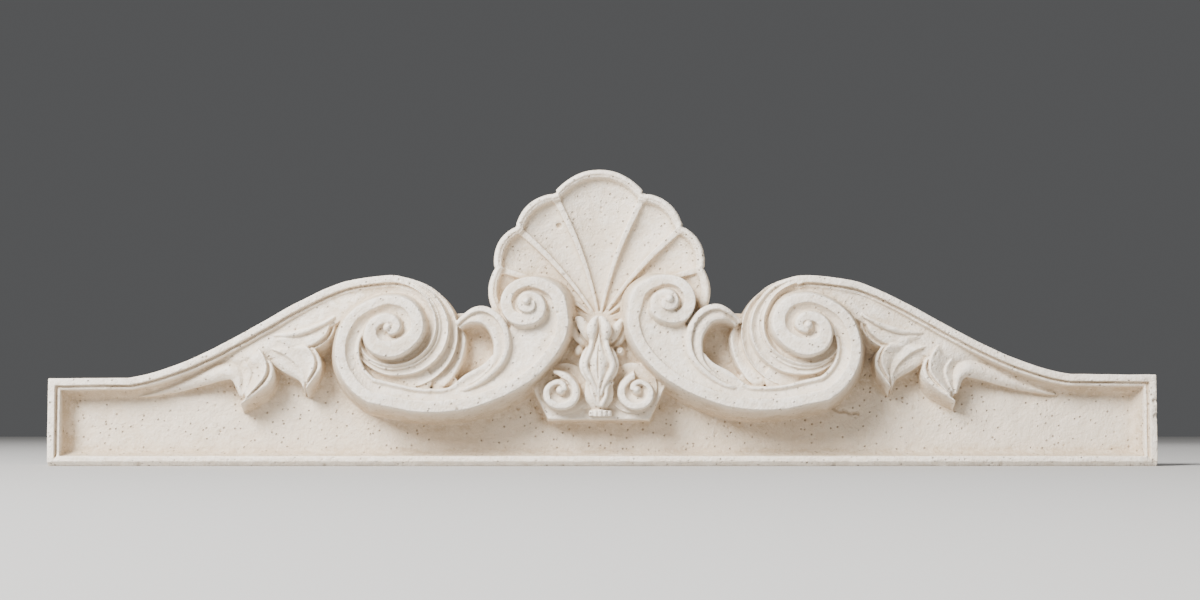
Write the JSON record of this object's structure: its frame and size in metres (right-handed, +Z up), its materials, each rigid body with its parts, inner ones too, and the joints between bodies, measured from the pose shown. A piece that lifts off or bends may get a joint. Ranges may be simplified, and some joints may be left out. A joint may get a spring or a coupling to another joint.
{
  "type": "broken scroll pediment",
  "caption": "Carved limestone pediment: leafy swan necks end in scrolls either side of a scallop shell and bud, over a framed sunk panel, with a flat back and bed.",
  "frame": {"origin": "middle of the overall box at the level of the underside", "axes": "+X along the wall to the viewer's right, +Z up, -Y out of the wall towards the viewer; the flat back is the +Y face"},
  "size_m": [1.198, 0.105, 0.3212],
  "materials": {
    "limestone": "honed cream limestone with fine pores and beige patina in the recesses"
  },
  "bodies": {
    "root": {"pediment": "limestone"}
  },
  "joints": []
}
